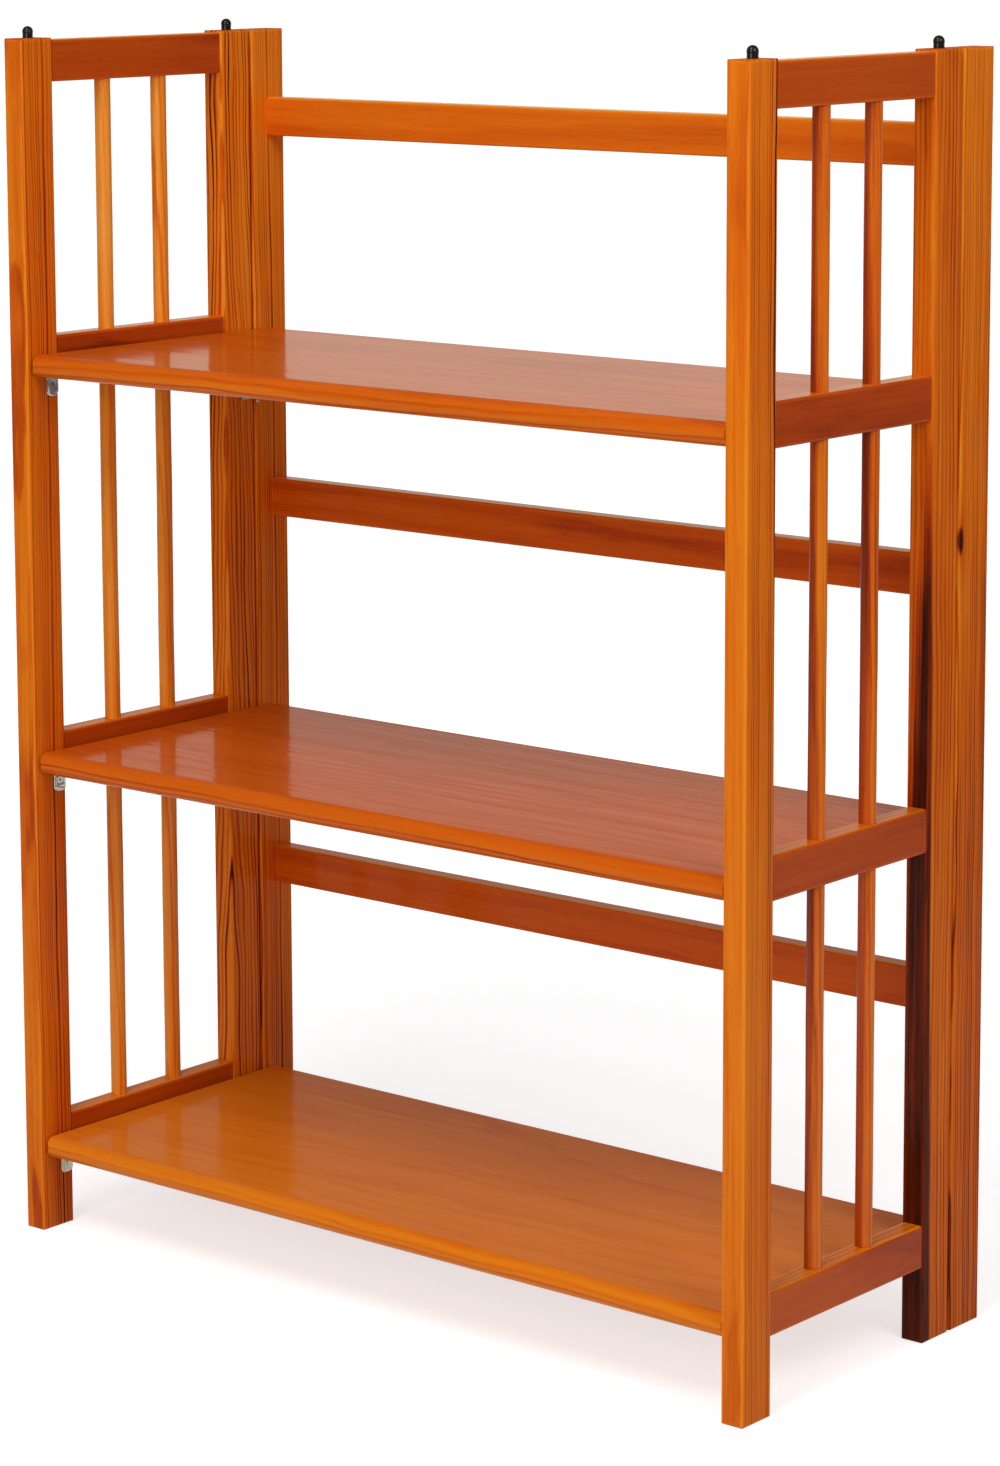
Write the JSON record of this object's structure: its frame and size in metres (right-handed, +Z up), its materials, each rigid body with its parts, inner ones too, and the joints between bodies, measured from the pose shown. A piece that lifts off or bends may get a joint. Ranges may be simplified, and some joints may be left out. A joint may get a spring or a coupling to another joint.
{
  "type": "folding bookcase",
  "caption": "Folding wooden bookcase: open spindle sides hinged to a railed back, shelves that pivot up flat against it, and ball-headed stacking pins on the legs.",
  "frame": {"origin": "on the floor, at the middle of the width and the depth", "axes": "+X to the right seen from the front, +Y from the front to the back, +Z up"},
  "size_m": [0.698, 0.292, 0.939],
  "materials": {
    "stained_pine": "honey stain under satin lacquer",
    "dowel_wood": "bare beech",
    "zinc_steel": "bright zinc plate",
    "black_steel": "gloss black"
  },
  "bodies": {
    "back_frame": {"left_stile": "stained_pine", "right_stile": "stained_pine", "bottom_back_rail": "stained_pine", "middle_back_rail": "stained_pine", "top_back_rail": "stained_pine", "back_rail_dowels": "dowel_wood", "shelf_pivot_pins": "zinc_steel", "left_stile_hinge_leaves": "zinc_steel", "left_hinge_pins": "zinc_steel", "left_stile_hinge_screws": "zinc_steel", "right_stile_hinge_leaves": "zinc_steel", "right_hinge_pins": "zinc_steel", "right_stile_hinge_screws": "zinc_steel"},
    "left_side": {"left_front_leg": "stained_pine", "left_rear_leg": "stained_pine", "left_lower_rail": "stained_pine", "left_middle_rail": "stained_pine", "left_upper_rail": "stained_pine", "left_top_rail": "stained_pine", "left_lower_front_spindle": "stained_pine", "left_lower_rear_spindle": "stained_pine", "left_middle_front_spindle": "stained_pine", "left_middle_rear_spindle": "stained_pine", "left_upper_front_spindle": "stained_pine", "left_upper_rear_spindle": "stained_pine", "left_front_stacking_pin": "black_steel", "left_rear_stacking_pin": "black_steel", "left_bottom_bracket": "zinc_steel", "left_middle_bracket": "zinc_steel", "left_top_bracket": "zinc_steel", "left_bracket_screws": "zinc_steel", "left_leg_hinge_leaves": "zinc_steel", "left_leg_hinge_screws": "zinc_steel", "left_side_rail_dowels": "dowel_wood"},
    "right_side": {"right_front_leg": "stained_pine", "right_rear_leg": "stained_pine", "right_lower_rail": "stained_pine", "right_middle_rail": "stained_pine", "right_upper_rail": "stained_pine", "right_top_rail": "stained_pine", "right_lower_front_spindle": "stained_pine", "right_lower_rear_spindle": "stained_pine", "right_middle_front_spindle": "stained_pine", "right_middle_rear_spindle": "stained_pine", "right_upper_front_spindle": "stained_pine", "right_upper_rear_spindle": "stained_pine", "right_front_stacking_pin": "black_steel", "right_rear_stacking_pin": "black_steel", "right_bottom_bracket": "zinc_steel", "right_middle_bracket": "zinc_steel", "right_top_bracket": "zinc_steel", "right_bracket_screws": "zinc_steel", "right_leg_hinge_leaves": "zinc_steel", "right_leg_hinge_screws": "zinc_steel", "right_side_rail_dowels": "dowel_wood"},
    "bottom_shelf": {"bottom_shelf": "stained_pine"},
    "middle_shelf": {"middle_shelf": "stained_pine"},
    "top_shelf": {"top_shelf": "stained_pine"}
  },
  "joints": [
    {"name": "bottom_shelf_fold", "type": "hinge", "parent": "back_frame", "child": "bottom_shelf", "pos_m": [0, 0.1145, 0.0645], "axis": [-1, 0, 0], "range_deg": [0, 90]},
    {"name": "middle_shelf_fold", "type": "hinge", "parent": "back_frame", "child": "middle_shelf", "pos_m": [0, 0.1145, 0.3705], "axis": [-1, 0, 0], "range_deg": [0, 90]},
    {"name": "top_shelf_fold", "type": "hinge", "parent": "back_frame", "child": "top_shelf", "pos_m": [0, 0.1145, 0.6795], "axis": [-1, 0, 0], "range_deg": [0, 90]},
    {"name": "left_side_fold", "type": "hinge", "parent": "back_frame", "child": "left_side", "pos_m": [-0.3275, 0.107, 0.465], "axis": [0, 0, 1], "range_deg": [0, 90]},
    {"name": "right_side_fold", "type": "hinge", "parent": "back_frame", "child": "right_side", "pos_m": [0.3275, 0.107, 0.465], "axis": [0, 0, -1], "range_deg": [0, 90]}
  ],
  "couplings": [
    {"joint": "left_side_fold", "follows": "top_shelf_fold", "ratio": 0.002},
    {"joint": "right_side_fold", "follows": "top_shelf_fold", "ratio": 0.002}
  ]
}
